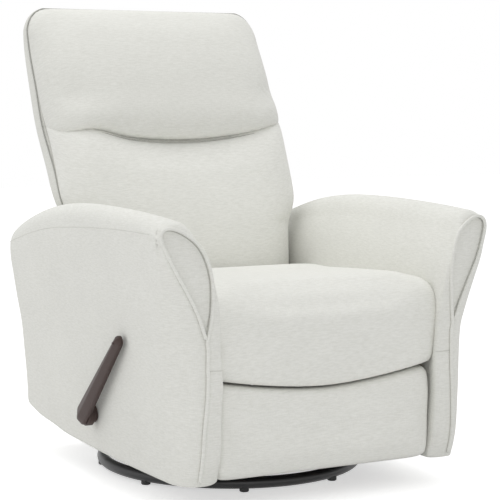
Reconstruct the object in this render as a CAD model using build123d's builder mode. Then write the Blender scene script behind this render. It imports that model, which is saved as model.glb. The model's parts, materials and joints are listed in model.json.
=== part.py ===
from build123d import *
import os
from math import atan2, cos, degrees, hypot, radians, sin

# Swivel glider recliner for a nursery, as separate pieces on a swivel base.
# Millimetres, +Z up. The chair faces -Y and its lever is on the sitter's right, at -X.
# The origin is on the floor, under the middle of the overall box.

os.makedirs("parts", exist_ok=True)

# ---------------------------------------------------------------- driving dimensions
# fits
pin_fit = 0.05              # radial clearance of a pin in the eye that turns on it
soft_gap = 1.0              # between padded pieces that lie against each other
slip = 0.3                  # between plates that slide past each other

# widths, all measured from the seat between the arms
seat_half_width = 274
plate_inset = 40            # from the seat's side to the inner face of the side plate
glide_inset = 58            # from the side plate to the glider's uprights
back_post_inset = 29        # from the side plate to the posts of the back
footrest_inset = 20
arm_undercut = 16           # the arm runs this far in under the seat's side
arm_frame_gap = 18          # from the seat's side to the wooden arm frame
arm_padding = 45            # from the frame's inner face to the arm's outer side, below
arm_flare = 40              # and this much more at the rolled top
lever_stand_off = 15        # from the arm's outer side to the lever
plate_x = seat_half_width - plate_inset
glide_post_x = plate_x - glide_inset
post_x = plate_x - back_post_inset
pad_half_width = seat_half_width - footrest_inset
arm_inner_bottom_x = seat_half_width - arm_undercut
arm_frame_x = seat_half_width + arm_frame_gap
arm_outer_bottom_x = arm_frame_x + arm_padding
arm_outer_top_x = arm_outer_bottom_x + arm_flare
lever_x = arm_outer_bottom_x + lever_stand_off

# floor ring and swivel
ring_y = -26                # the swivel axis stands this far behind the origin line
ring_radius = 282           # centreline of the floor ring
ring_tube = 25              # its tube diameter
glide_height = 6            # floor glides under the ring
glide_radius = 10
glide_count = 8
cross_size = 18             # square tubes welded across the ring
bearing_radius = 75
swivel_plate_thickness = 4
post_radius = 10            # king pin
washer_thickness = 2.4      # nylon slip washer between the swivel plates
nut_height = 8
turntable_half_x = 90
turntable_margin = 20       # of the turntable plate beyond its cross bars

# glider: four hanging links
glide_half_span = 120       # front and rear links stand this far from the swivel axis
glide_pivot_z = 190         # upper pivots
glide_link_length = 105
glide_link_width = 24
glide_post_width = 30
bar_height = 12             # cross bars that carry the uprights
steel = 4                   # plate thickness of posts, links, rails and side plates
glide_pin_radius = 5
glide_gap = 1               # between a glide link and the plates beside it

# seat frame
rail_thickness = 40         # wooden side rails outside the plates
rail_front_y = -380
rail_rear_y = 176
rail_bottom_z = 225
rail_top_z = 330
screw_radius = 4            # of the bolts and lag screws in the wooden frame
bolt_bite = 24              # length of each plate bolt in its rail
bolt_spots = ((-100, 300), (90, 300))
cleat_y = ((-360, -270), (80, 170))
screw_spots = ((-315, 255), (-315, 300), (125, 255), (125, 300))
screw_bite = 22             # length of each arm screw in the side rail
cross_rail_thickness = 25
cross_rail_height = 34
rear_rail_y = 120
spring_count = 5
spring_wire = 4
spring_pitch = 84           # between the zigzag springs
spring_width = 46           # of one zigzag
spring_bends = 11

# arms: the outer size of the padded arm
arm_bottom_z = 61
arm_top_z = 592
arm_rear_y = 345
arm_front_y = -462
arm_roll = 44               # height of the rolled top
arm_rake = 30               # the arm front leans forward by this much from its foot
leaf_bottom_z = 355         # up to the foot of the leaf-shaped front panel
arm_frame_thickness = 24
arm_rear_drop = 112         # the arm top is this much lower at its rear end

# seat and footrest cushions
seat_front_y = -440
seat_rear_y = 88
seat_top_front_z = 448
seat_top_rear_z = 424
seat_lip = 52               # thickness of the padding in front of the front rail
smile_side_z = 262          # lower edge of the seat front at its sides
smile_middle_z = 240        # and in the middle
pad_bottom_z = 63
pad_thickness = 60
pad_seam_gap = 4
board_thickness = 14

# footrest linkage, one set on each side; angles from +Y towards +Z, footrest closed
front_pivot = (-295, 310)   # front link on the side plate (y, z)
front_link_length = 226
front_link_angle = -60
cross_point = 178           # the inner link crosses the front link this far along it
lazy_length = 150           # inner and outer links, from the front link to the bracket
lazy_angle = 134
tail_length = 46            # rear end of the inner link
tail_angle = 197            # measured from the inner link's own direction
rear_pivot = (-243, 288)    # rear link on the side plate
link_width = 25
link_thickness = 4
link_gap = 2
rivet_radius = 5
rivet_head = 8
open_pin_radius = 4
open_pivot_play = 4.2       # radial play where the rear link meets the inner link

# lever and its tube
lever_pivot = (-48, 146)
tube_radius = 10
crank_length = 50
drive_link_width = 20
lever_length = 256
lever_angle = 136.5
lever_root_radius = 23
lever_tip_radius = 12
lever_thickness = 16
lever_lean = 4.2            # it leans outwards, clear of the flared arm
boss_radius = 20

# back
hinge_eye = 11              # metal around the hinge bolt
hinge_pocket = 26           # depth of the pocket behind the hinge in the outer back
hinge = (212, 290)          # reclining pivot (y, z)
back_knee_z = 480           # the posts are upright below this height
back_lean = 0.402           # and lean back by this slope above it
post_width = 20
post_depth = 24
back_top_z = 1015
shell_bottom_z = 262
back_seam_side_z = 752      # seam between the two back pillows, at the sides
back_seam_middle_z = 706    # and in the middle


def keep(piece, name):
    """Label a finished piece and write it as its own file."""
    piece.part.label = name
    export_step(piece.part, f"parts/{name}.step")


def along(start, length, angle):
    """The point at a distance and direction from another, in the (y, z) plane."""
    turn = radians(angle)
    return (start[0] + length * cos(turn), start[1] + length * sin(turn))


def disc(centre, x, radius, thickness, mode=Mode.ADD):
    """A cylinder along X on a (y, z) point, starting at the plane x."""
    with BuildSketch(Plane.YZ.offset(x)) as face:
        with Locations(centre):
            Circle(radius)
    extrude(face.sketch, amount=thickness, mode=mode)


def bar(start, end, x, width, thickness, mode=Mode.ADD):
    """A flat bar with round ends between two (y, z) points, starting at the plane x."""
    run = (end[0] - start[0], end[1] - start[1])
    middle = ((start[0] + end[0]) / 2, (start[1] + end[1]) / 2)
    with BuildSketch(Plane.YZ.offset(x)) as face:
        with Locations(middle):
            SlotCenterToCenter(hypot(*run), width, rotation=degrees(atan2(run[1], run[0])))
    extrude(face.sketch, amount=thickness, mode=mode)


def plate(points, x, thickness, mode=Mode.ADD):
    """A flat plate with straight edges, drawn in (y, z) and starting at the plane x."""
    with BuildSketch(Plane.YZ.offset(x)) as face:
        with BuildLine():
            Polyline(*points, close=True)
        make_face()
    extrude(face.sketch, amount=thickness, mode=mode)


def block(x0, x1, y0, y1, z0, z1, mode=Mode.ADD):
    """A plain block between six planes."""
    with BuildSketch(Plane.XY.offset(z0)) as face:
        with Locations(((x0 + x1) / 2, (y0 + y1) / 2)):
            Rectangle(x1 - x0, y1 - y0)
    extrude(face.sketch, amount=z1 - z0, mode=mode)


# ================================================================ floor ring and swivel
ring_z = glide_height + ring_tube / 2
cross_top = ring_z + cross_size / 2
bearing_top = cross_top + swivel_plate_thickness
turntable_z = bearing_top + washer_thickness + slip
turntable_top = turntable_z + swivel_plate_thickness
swivel = (0, ring_y)

with BuildPart() as base_ring:
    with BuildSketch(Plane.XZ.offset(-ring_y)):
        with Locations((ring_radius, ring_z)):
            Circle(ring_tube / 2)
    revolve(axis=Axis((0, ring_y, 0), (0, 0, 1)))
keep(base_ring, "base_ring")

# two square tubes welded crosswise inside the ring, their ends coped to its tube
with BuildPart() as base_cross:
    with BuildSketch(Plane.XY.offset(cross_top - cross_size)):
        with Locations(swivel):
            Rectangle(2 * ring_radius, cross_size, rotation=45)
            Rectangle(2 * ring_radius, cross_size, rotation=-45)
    extrude(amount=cross_size)
    add(base_ring.part, mode=Mode.SUBTRACT)
keep(base_cross, "base_cross")

with BuildPart() as floor_glides:
    with BuildSketch():
        with Locations(swivel):
            with PolarLocations(ring_radius, glide_count, start_angle=180 / glide_count):
                Circle(glide_radius)
    extrude(amount=glide_height + ring_tube / 4)
    add(base_ring.part, mode=Mode.SUBTRACT)
    chamfer(floor_glides.edges().group_by(Axis.Z)[0], 1.5)
keep(floor_glides, "floor_glides")

with BuildPart() as bearing_plate:
    with BuildSketch(Plane.XY.offset(cross_top)):
        with Locations(swivel):
            Circle(bearing_radius)
            Circle(post_radius, mode=Mode.SUBTRACT)
    extrude(amount=swivel_plate_thickness)
keep(bearing_plate, "bearing_plate")

nut_z = turntable_top + slip
with BuildPart() as swivel_post:
    with BuildSketch(Plane.XY.offset(cross_top)):
        with Locations(swivel):
            Circle(post_radius)
    extrude(amount=nut_z + nut_height + slip - cross_top)
    chamfer(swivel_post.edges().group_by(Axis.Z)[-1], 1)
keep(swivel_post, "swivel_post")

with BuildPart() as swivel_nut:
    with BuildSketch(Plane.XY.offset(nut_z)):
        with Locations(swivel):
            RegularPolygon(1.8 * post_radius, 6)
            Circle(post_radius, mode=Mode.SUBTRACT)
    extrude(amount=nut_height)
keep(swivel_nut, "swivel_nut")

with BuildPart() as swivel_washer:
    with BuildSketch(Plane.XY.offset(bearing_top)):
        with Locations(swivel):
            Circle(0.9 * bearing_radius)
            Circle(0.65 * bearing_radius, mode=Mode.SUBTRACT)
    extrude(amount=washer_thickness)
keep(swivel_washer, "swivel_washer")

# ================================================================ turntable and glider
bar_y = (ring_y - glide_half_span, ring_y + glide_half_span)
post_foot_z = turntable_top + bar_height
glide_low_z = glide_pivot_z - glide_link_length
glide_link_x = glide_post_x + steel + glide_gap
glide_rail_x = glide_link_x + steel + glide_gap

with BuildPart() as turntable_plate:
    with BuildSketch(Plane.XY.offset(turntable_z)):
        with Locations(swivel):
            Rectangle(2 * turntable_half_x, 2 * (glide_half_span + turntable_margin))
            Circle(post_radius + pin_fit, mode=Mode.SUBTRACT)
    extrude(amount=swivel_plate_thickness)
    fillet(turntable_plate.edges().filter_by(Axis.Z).filter_by(GeomType.LINE).group_by(Axis.X)[0], 25)
    fillet(turntable_plate.edges().filter_by(Axis.Z).filter_by(GeomType.LINE).group_by(Axis.X)[-1], 25)
keep(turntable_plate, "turntable_plate")

with BuildPart() as turntable_bars:
    for y in bar_y:
        block(-glide_post_x - steel, glide_post_x + steel, y - glide_post_width / 2,
              y + glide_post_width / 2, turntable_top, post_foot_z)
keep(turntable_bars, "turntable_bars")

# four upright angles with a foot on the bar and a pivot hole near the top
with BuildPart() as glider_posts:
    for y in bar_y:
        bar((y, post_foot_z + glide_post_width / 2), (y, glide_pivot_z), glide_post_x,
            glide_post_width, steel)
        block(glide_post_x - 28, glide_post_x + steel, y - glide_post_width / 2,
              y + glide_post_width / 2, post_foot_z, post_foot_z + steel)
        block(glide_post_x, glide_post_x + steel, y - glide_post_width / 2,
              y + glide_post_width / 2, post_foot_z, post_foot_z + glide_post_width / 2)
        disc((y, glide_pivot_z), glide_post_x, glide_pin_radius, steel, Mode.SUBTRACT)
    mirror(about=Plane.YZ)
keep(glider_posts, "glider_posts")

with BuildPart() as upper_glide_pins:
    for y in bar_y:
        disc((y, glide_pivot_z), glide_post_x - 3, 1.6 * glide_pin_radius, 3)
        disc((y, glide_pivot_z), glide_post_x, glide_pin_radius, 2 * steel + glide_gap + slip)
        disc((y, glide_pivot_z), glide_post_x + steel, 1.6 * glide_pin_radius, glide_gap - slip)
        disc((y, glide_pivot_z), glide_link_x + steel + slip, 1.6 * glide_pin_radius, 3)
    mirror(about=Plane.YZ)
keep(upper_glide_pins, "upper_glide_pins")


def glide_link(y):
    """One hanging link with an eye at each end."""
    bar((y, glide_low_z), (y, glide_pivot_z), glide_link_x, glide_link_width, steel)
    for z in (glide_low_z, glide_pivot_z):
        disc((y, z), glide_link_x, glide_pin_radius + pin_fit, steel, Mode.SUBTRACT)


with BuildPart() as front_glide_links:
    glide_link(bar_y[0])
    mirror(about=Plane.YZ)
keep(front_glide_links, "front_glide_links")

with BuildPart() as rear_glide_links:
    glide_link(bar_y[1])
    mirror(about=Plane.YZ)
keep(rear_glide_links, "rear_glide_links")

# ================================================================ seat frame
front_bar_y = (bar_y[0] - 86, bar_y[0] - 50)
rear_tube_y = (bar_y[1] + 56, bar_y[1] + 81)
rail_flange = 17
glide_rail_bottom = glide_low_z - 15
glide_rail_top = glide_low_z + 15
cross_bar_bottom = glide_rail_bottom - steel

# angle irons that hang on the lower pivots and carry the seat frame
with BuildPart() as glide_rails:
    block(glide_rail_x, glide_rail_x + steel, front_bar_y[0], rear_tube_y[1],
          glide_rail_bottom, glide_rail_top)
    block(glide_rail_x, glide_rail_x + rail_flange, front_bar_y[0], rear_tube_y[1],
          glide_rail_bottom, glide_rail_bottom + steel)
    for y in bar_y:
        disc((y, glide_low_z), glide_rail_x, glide_pin_radius, steel, Mode.SUBTRACT)
    mirror(about=Plane.YZ)
keep(glide_rails, "glide_rails")

with BuildPart() as lower_glide_pins:
    for y in bar_y:
        disc((y, glide_low_z), glide_link_x, glide_pin_radius, 2 * steel + glide_gap)
        disc((y, glide_low_z), glide_link_x + steel + slip, 1.6 * glide_pin_radius,
             glide_gap - slip)
        disc((y, glide_low_z), glide_rail_x + steel, 1.6 * glide_pin_radius, 3)
    mirror(about=Plane.YZ)
keep(lower_glide_pins, "lower_glide_pins")

with BuildPart() as front_cross_bar:
    block(-plate_x, plate_x, *front_bar_y, cross_bar_bottom, glide_rail_bottom)
keep(front_cross_bar, "front_cross_bar")

with BuildPart() as rear_cross_tube:
    block(-plate_x, plate_x, *rear_tube_y, glide_rail_top, glide_rail_top + 25)
    block(-plate_x, plate_x, rear_tube_y[0] + 2, rear_tube_y[1] - 2, glide_rail_top + 2,
          glide_rail_top + 23, mode=Mode.SUBTRACT)
keep(rear_cross_tube, "rear_cross_tube")

# joints of the footrest linkage, closed
link_end = along(front_pivot, front_link_length, front_link_angle)
link_cross = along(front_pivot, cross_point, front_link_angle)
inner_top = along(link_cross, lazy_length, lazy_angle)
outer_top = along(link_end, lazy_length, lazy_angle)
inner_tail = along(link_cross, tail_length, lazy_angle + tail_angle)
crank_end = along(lever_pivot, crank_length, front_link_angle)
drive_lug = along(front_pivot, crank_length, front_link_angle)

# side plate: carries the linkage, the lever tube and the back hinge
plate_top = rail_top_z - 4
with BuildPart() as mechanism_plates:
    plate([(front_pivot[0] - 22, plate_top), (front_pivot[0] - 22, rail_bottom_z + 30),
           (front_bar_y[0] - 4, 150), (front_bar_y[0] - 4, cross_bar_bottom),
           (front_bar_y[1] + 4, cross_bar_bottom), (front_bar_y[1] + 24, glide_rail_top),
           (lever_pivot[0] - 10, lever_pivot[1] - 26), (lever_pivot[0] + 14, lever_pivot[1] - 26),
           (rear_tube_y[0] - 4, glide_rail_top), (rear_tube_y[1] + 4, glide_rail_top),
           (hinge[0] - 8, hinge[1] - 34), (hinge[0] + hinge_eye, hinge[1] - hinge_eye),
           (hinge[0] + hinge_eye, hinge[1] + hinge_eye), (hinge[0] - 12, plate_top)],
          plate_x, steel)
    for y in (-130, 50, 130):
        disc((y, 205), plate_x, 34, steel, Mode.SUBTRACT)
    disc(lever_pivot, plate_x, tube_radius + pin_fit, steel, Mode.SUBTRACT)
    for point in (front_pivot, rear_pivot, hinge):
        disc(point, plate_x, rivet_radius, steel, Mode.SUBTRACT)
    for spot in bolt_spots:
        disc(spot, plate_x, screw_radius, steel, Mode.SUBTRACT)
    fillet(mechanism_plates.edges().filter_by(Axis.X).filter_by(GeomType.LINE), 9)
    mirror(about=Plane.YZ)
keep(mechanism_plates, "mechanism_plates")


def layer(index):
    """Inner face of the linkage layer that lies this many steps inside the side plate."""
    return plate_x - index * (link_thickness + link_gap)


def rivet(centre, carrier, partner, radius=rivet_radius, head=rivet_head):
    """A rivet set in the carrier layer that the partner layer turns on."""
    outward = partner < carrier
    inner, outer = sorted((layer(carrier), layer(partner)))
    far = outer + link_thickness
    head_height = link_gap - 2 * slip
    disc(centre, inner, radius, far - inner)
    if outward:
        disc(centre, layer(carrier) + link_thickness, head,
             layer(partner) - layer(carrier) - link_thickness - slip)
        disc(centre, far, radius, slip)
        disc(centre, far + slip, head, head_height)
    else:
        disc(centre, layer(partner) + link_thickness + slip, head,
             layer(carrier) - layer(partner) - link_thickness - slip)
        disc(centre, inner - slip, radius, slip)
        disc(centre, inner - slip - head_height, head, head_height)


def eye(centre, index, radius=rivet_radius + pin_fit):
    """The hole of a link that turns on a rivet of another."""
    disc(centre, layer(index), radius, link_thickness, Mode.SUBTRACT)


# rivets set in the side plates, which stand at layer zero
with BuildPart() as plate_rivets:
    for point, partner in ((front_pivot, 3), (rear_pivot, 1)):
        disc(point, plate_x, rivet_radius, steel)
        disc(point, layer(partner) + link_thickness + slip, rivet_head,
             plate_x - layer(partner) - link_thickness - slip)
        disc(point, layer(partner) - slip, rivet_radius, link_thickness + 2 * slip)
        disc(point, layer(partner) - link_gap + slip, rivet_head, link_gap - 2 * slip)
    mirror(about=Plane.YZ)
keep(plate_rivets, "plate_rivets")

# front link: swings forward and carries both lazy-tong links and the drive lug
with BuildPart() as front_links:
    bar(front_pivot, link_end, layer(3), link_width, link_thickness)
    eye(front_pivot, 3)
    rivet(link_cross, 3, 2)
    rivet(link_end, 3, 4)
    rivet(drive_lug, 3, 5)
    mirror(about=Plane.YZ)
keep(front_links, "front_links")

# inner link: crosses the front link and is steered by the rear link at its tail
with BuildPart() as inner_links:
    bar(link_cross, inner_top, layer(2), link_width, link_thickness)
    bar(link_cross, inner_tail, layer(2), link_width, link_thickness)
    eye(link_cross, 2)
    rivet(inner_top, 2, 3)
    rivet(inner_tail, 2, 1, open_pin_radius, open_pin_radius + open_pivot_play + 3)
    mirror(about=Plane.YZ)
keep(inner_links, "inner_links")

# outer link: parallel to the inner link, so that the pad turns with the front link
with BuildPart() as outer_links:
    bar(link_end, outer_top, layer(4), link_width, link_thickness)
    eye(link_end, 4)
    rivet(outer_top, 4, 3)
    mirror(about=Plane.YZ)
keep(outer_links, "outer_links")

with BuildPart() as rear_links:
    bar(rear_pivot, inner_tail, layer(1), link_width, link_thickness)
    disc(inner_tail, layer(1), open_pin_radius + open_pivot_play + 6, link_thickness)
    eye(rear_pivot, 1)
    eye(inner_tail, 1, open_pin_radius + open_pivot_play)
    mirror(about=Plane.YZ)
keep(rear_links, "rear_links")

# ---------------------------------------------------------------- lever, tube and drive
with BuildPart() as drive_tube:
    disc(lever_pivot, -lever_x - 12, tube_radius, lever_x + 12 + plate_x + steel + 3)
    disc(lever_pivot, -lever_x, tube_radius - 2, lever_x + plate_x + steel + 3, Mode.SUBTRACT)
keep(drive_tube, "drive_tube")

with BuildPart() as cranks:
    bar(lever_pivot, crank_end, layer(4), link_width, link_thickness)
    disc(lever_pivot, layer(4), tube_radius + 7, link_thickness)
    disc(lever_pivot, layer(4), tube_radius, link_thickness, Mode.SUBTRACT)
    rivet(crank_end, 4, 5)
    mirror(about=Plane.YZ)
keep(cranks, "cranks")

with BuildPart() as drive_links:
    bar(crank_end, drive_lug, layer(5), drive_link_width, link_thickness)
    eye(crank_end, 5)
    eye(drive_lug, 5)
    mirror(about=Plane.YZ)
keep(drive_links, "drive_links")

# lever: a paddle that narrows to its round tip, with a ridge along its outer face
lever_tip = along(lever_pivot, lever_length, lever_angle)


def paddle(x, root, tip):
    """Outline of the lever at one plane: two circles and their common tangents."""
    with BuildSketch(Plane.YZ.offset(x)) as outline:
        with Locations(lever_pivot):
            Circle(root)
        with Locations(lever_tip):
            Circle(tip)
        make_hull()
    return outline.sketch


with BuildPart() as lever_blade:
    extrude(paddle(-lever_x, lever_root_radius, lever_tip_radius), amount=-lever_thickness / 2)
    loft([paddle(-lever_x - lever_thickness / 2, lever_root_radius, lever_tip_radius).face(),
          paddle(-lever_x - lever_thickness, 0.35 * lever_root_radius,
                 0.35 * lever_tip_radius).face()])
lean_axis = Axis((-lever_x, *lever_pivot),
                 (0, -sin(radians(lever_angle)), cos(radians(lever_angle))))
with BuildPart() as lever_handle:
    add(lever_blade.part.rotate(lean_axis, lever_lean))
    disc(lever_pivot, -lever_x - 12, tube_radius, 12 + 4, Mode.SUBTRACT)
keep(lever_handle, "lever_handle")

# ================================================================ wooden seat box
rail_x = plate_x + steel
with BuildPart() as seat_side_rails:
    block(rail_x, rail_x + rail_thickness, rail_front_y, rail_rear_y, rail_bottom_z, rail_top_z)
    for spot in bolt_spots:
        disc(spot, rail_x, screw_radius, bolt_bite + 2, Mode.SUBTRACT)
    for spot in screw_spots:
        disc(spot, rail_x + rail_thickness - screw_bite - 2, screw_radius, screw_bite + 2,
             Mode.SUBTRACT)
    mirror(about=Plane.YZ)
keep(seat_side_rails, "seat_side_rails")

cross_rail_bottom = rail_top_z - cross_rail_height
with BuildPart() as seat_front_rail:
    block(-rail_x, rail_x, rail_front_y, rail_front_y + cross_rail_thickness,
          cross_rail_bottom, rail_top_z)
keep(seat_front_rail, "seat_front_rail")

with BuildPart() as seat_rear_rail:
    block(-plate_x, plate_x, rear_rail_y, rear_rail_y + cross_rail_thickness,
          cross_rail_bottom, rail_top_z)
keep(seat_rear_rail, "seat_rear_rail")

# zigzag springs that run from the front rail to the rear rail
spring_z = rail_top_z + spring_wire / 2
spring_start = rail_front_y + cross_rail_thickness / 2
spring_end = rear_rail_y + cross_rail_thickness / 2
bend_step = (spring_end - spring_start) / spring_bends
with BuildPart() as seat_springs:
    for index in range(spring_count):
        middle = (index - (spring_count - 1) / 2) * spring_pitch
        corners = [(middle, spring_start)]
        for bend in range(spring_bends):
            side = spring_width / 2 if bend % 2 else -spring_width / 2
            near = spring_start + (bend + 0.12) * bend_step
            far = spring_start + (bend + 0.88) * bend_step
            corners += [(middle + side, near), (middle + side, far)]
        corners.append((middle, spring_end))
        with BuildLine(Plane.XY.offset(spring_z)) as zigzag:
            FilletPolyline(*corners, radius=0.33 * bend_step)
        with BuildSketch(Plane(origin=zigzag.line @ 0, z_dir=zigzag.line % 0)) as section:
            Rectangle(spring_wire, spring_wire)
        sweep(section.sketch, path=zigzag.line)
keep(seat_springs, "seat_springs")

with BuildPart() as spring_clips:
    for index in range(spring_count):
        middle = (index - (spring_count - 1) / 2) * spring_pitch
        for y in (spring_start, spring_end):
            block(middle - 12, middle + 12, y - 8, y + 8, rail_top_z, spring_z + spring_wire)
            block(middle - spring_width, middle + spring_width, y - 8.5, y + 8.5, rail_top_z,
                  spring_z + spring_wire / 2, mode=Mode.SUBTRACT)
keep(spring_clips, "spring_clips")

# seat cushion: a thick pad on the springs whose front hangs over the front rail
cushion_bottom = spring_z + spring_wire + soft_gap
with BuildPart() as seat_cushion:
    with BuildSketch(Plane.YZ.offset(-seat_half_width)):
        with BuildLine():
            back_line = Line((seat_rear_y, cushion_bottom), (seat_rear_y, seat_top_rear_z - 16))
            crown = Polyline(back_line @ 1, (seat_rear_y - 12, seat_top_rear_z - 3),
                             (seat_rear_y - 38, seat_top_rear_z + 1),
                             (-180, 0.6 * seat_top_front_z + 0.4 * seat_top_rear_z),
                             (-300, seat_top_front_z - 3), (seat_front_y + 70, seat_top_front_z - 2),
                             (seat_front_y + 35, seat_top_front_z - 11),
                             (seat_front_y + 12, seat_top_front_z - 30),
                             (seat_front_y, seat_top_front_z - 60))
            front = Line(crown @ 1, (seat_front_y, smile_middle_z))
            Polyline(front @ 1, (seat_front_y + 0.25 * seat_lip, smile_middle_z),
                     (seat_front_y + seat_lip, rail_top_z - cross_rail_height),
                     (seat_front_y + seat_lip, cushion_bottom), back_line @ 0)
        make_face()
    extrude(amount=2 * seat_half_width)
    with BuildSketch(Plane.XZ.offset(-arm_rear_y)):
        with BuildLine():
            smile = ThreePointArc((-pad_half_width + 4, smile_side_z), (0, smile_middle_z),
                                  (pad_half_width - 4, smile_side_z))
            Polyline(smile @ 1, (seat_half_width - 3, 380), (seat_half_width, arm_top_z),
                     (-seat_half_width, arm_top_z), (-seat_half_width + 3, 380), smile @ 0)
        make_face()
    extrude(amount=2 * arm_rear_y - 2 * seat_front_y, mode=Mode.INTERSECT)
keep(seat_cushion, "seat_cushion")

# footrest: padded board that closes the front under the seat
pad_rear_y = seat_front_y + pad_thickness
board_y = (pad_rear_y + soft_gap, pad_rear_y + soft_gap + board_thickness)
with BuildPart() as footrest_cushion:
    with BuildSketch(Plane.XZ.offset(-pad_rear_y)):
        with BuildLine():
            top = ThreePointArc((-pad_half_width + 4, smile_side_z - pad_seam_gap),
                                (0, smile_middle_z - pad_seam_gap),
                                (pad_half_width - 4, smile_side_z - pad_seam_gap))
            Polyline(top @ 1, (pad_half_width, 185), (pad_half_width - 8, pad_bottom_z),
                     (8 - pad_half_width, pad_bottom_z), (-pad_half_width, 185), top @ 0)
        make_face()
    extrude(amount=pad_thickness)
    fillet(footrest_cushion.edges().group_by(Axis.Y)[0], 14)
keep(footrest_cushion, "footrest_cushion")

board_top = smile_middle_z - 15
with BuildPart() as footrest_board:
    block(-pad_half_width + 14, pad_half_width - 14, *board_y, pad_bottom_z + 15, board_top)
    fillet(footrest_board.edges().filter_by(Axis.Y), 12)
keep(footrest_board, "footrest_board")

# bracket: holds the pad board on the ends of the inner and outer links
flange = 20
with BuildPart() as footrest_brackets:
    bar(inner_top, outer_top, layer(3), link_width, link_thickness)
    plate([inner_top, (board_y[1], board_top - 2), (board_y[1], pad_bottom_z + 55), outer_top],
          layer(3), link_thickness)
    block(layer(3) - flange, layer(3) + link_thickness, board_y[1], board_y[1] + steel,
          pad_bottom_z + 55, board_top - 2)
    eye(inner_top, 3)
    eye(outer_top, 3)
    mirror(about=Plane.YZ)
keep(footrest_brackets, "footrest_brackets")

# ================================================================ arms
arm_stations = (arm_front_y - 2, -180, -60, 60, 160, 260, arm_rear_y)


def arm_fall(y):
    """How far the arm top has fallen at this depth: level in front, curving down behind."""
    back = max(0, (y + 180) / (arm_rear_y + 180))
    return arm_rear_drop * back ** 2.2


def arm_underside(y):
    """Height of the arm's lower edge: level, then rising towards the rear."""
    return arm_bottom_z + 34 * max(0, (y - 60) / (arm_rear_y - 60))


def arm_section(y):
    """Cross-section of the padded arm: flared outside, rolled top, curved inside."""
    low = arm_underside(y)
    shoulder = arm_top_z - arm_roll - arm_fall(y)
    rise = shoulder - low
    outer, inner = arm_outer_bottom_x, arm_inner_bottom_x
    flare = arm_outer_top_x - outer
    outside = [(outer + flare * lean, low + rise * share)
               for share, lean in ((0, 0), (0.33, 0.2), (0.52, 0.38), (0.68, 0.63), (0.84, 0.87), (1, 1))]
    roll = [(arm_outer_top_x - back, shoulder + arm_roll * lift)
            for back, lift in ((1, 0.4), (9, 0.75), (22, 0.96), (34, 1), (49, 0.88), (65, 0.5))]
    inside = [(inner + lean, low + rise * share)
              for lean, share in ((44, 1), (35, 0.93), (27, 0.83), (20, 0.57), (11, 0.3), (0, 0))]
    with BuildSketch(Plane.XZ.offset(-y)) as section:
        with BuildLine():
            Polyline(*outside, *roll, *inside, close=True)
        make_face()
    return section.sketch.face()


def arm_plan(z, inner, outer, front):
    """Plan of the arm at one height, with a round nose."""
    with BuildSketch(Plane.XY.offset(z)) as outline:
        with BuildLine():
            nose = ThreePointArc((inner, front + 36), (0.5 * (inner + outer), front),
                                 (outer, front + 36))
            Polyline(nose @ 1, (outer, arm_rear_y), (inner, arm_rear_y), nose @ 0)
        make_face()
    return outline.sketch.face()


with BuildPart() as arm_form:
    loft([arm_section(y) for y in arm_stations], ruled=True)
    loft([arm_plan(arm_bottom_z - 1, arm_inner_bottom_x - 4, arm_outer_bottom_x + 4,
                   arm_front_y + arm_rake),
          arm_plan(leaf_bottom_z, arm_inner_bottom_x + 6, arm_outer_bottom_x + 20, arm_front_y),
          arm_plan(arm_top_z + 5, arm_inner_bottom_x + 14, arm_outer_top_x + 6,
                   arm_front_y + 0.5 * arm_rake)],
         ruled=True, mode=Mode.INTERSECT)

# wooden arm frame: a board with hand holes, under the padding
frame_inset = 22
frame_front_y = arm_front_y + 37
frame_rear_y = arm_rear_y - frame_inset
frame_top = arm_top_z - 102
frame_drop = 92
counterbore_radius = 10
counterbore_depth = 9
screw_seat_x = arm_frame_x + arm_frame_thickness - counterbore_depth
with BuildPart() as arm_frame_right:
    with BuildSketch(Plane.YZ.offset(arm_frame_x)):
        with BuildLine():
            ridge = Line((frame_front_y, frame_top), (-40, frame_top))
            slope = TangentArc(ridge @ 1, (frame_rear_y, frame_top - frame_drop), tangent=(1, 0))
            Polyline(slope @ 1, (frame_rear_y, arm_bottom_z + 50), (60, arm_bottom_z + 14),
                     (frame_front_y, arm_bottom_z + 14), ridge @ 0)
        make_face()
        with Locations((-300, 410), (-180, 410), (-60, 410), (60, 405), (-300, 150), (200, 170)):
            Circle(42, mode=Mode.SUBTRACT)
    extrude(amount=arm_frame_thickness)
    disc(lever_pivot, arm_frame_x, tube_radius + 4, arm_frame_thickness, Mode.SUBTRACT)
    for spot in screw_spots:
        disc(spot, arm_frame_x, screw_radius, arm_frame_thickness, Mode.SUBTRACT)
        disc(spot, screw_seat_x, counterbore_radius, counterbore_depth, Mode.SUBTRACT)

pad_floor = 4               # of padding between the frame's top edge and the arm pad
with BuildPart() as pad_zone:
    with BuildSketch(Plane.YZ.offset(arm_inner_bottom_x - 20)):
        with BuildLine():
            ridge = Line((arm_front_y - 20, frame_top + pad_floor), (-40, frame_top + pad_floor))
            slope = TangentArc(ridge @ 1, (frame_rear_y, frame_top + pad_floor - frame_drop),
                               tangent=(1, 0))
            Polyline(slope @ 1, (arm_rear_y + 20, frame_top - frame_drop), (arm_rear_y + 20, arm_top_z + 100),
                     (arm_front_y - 20, arm_top_z + 100), ridge @ 0)
        make_face()
    extrude(amount=200)

with BuildPart() as arm_pad_right:
    add(arm_form.part)
    add(pad_zone.part, mode=Mode.INTERSECT)

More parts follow.
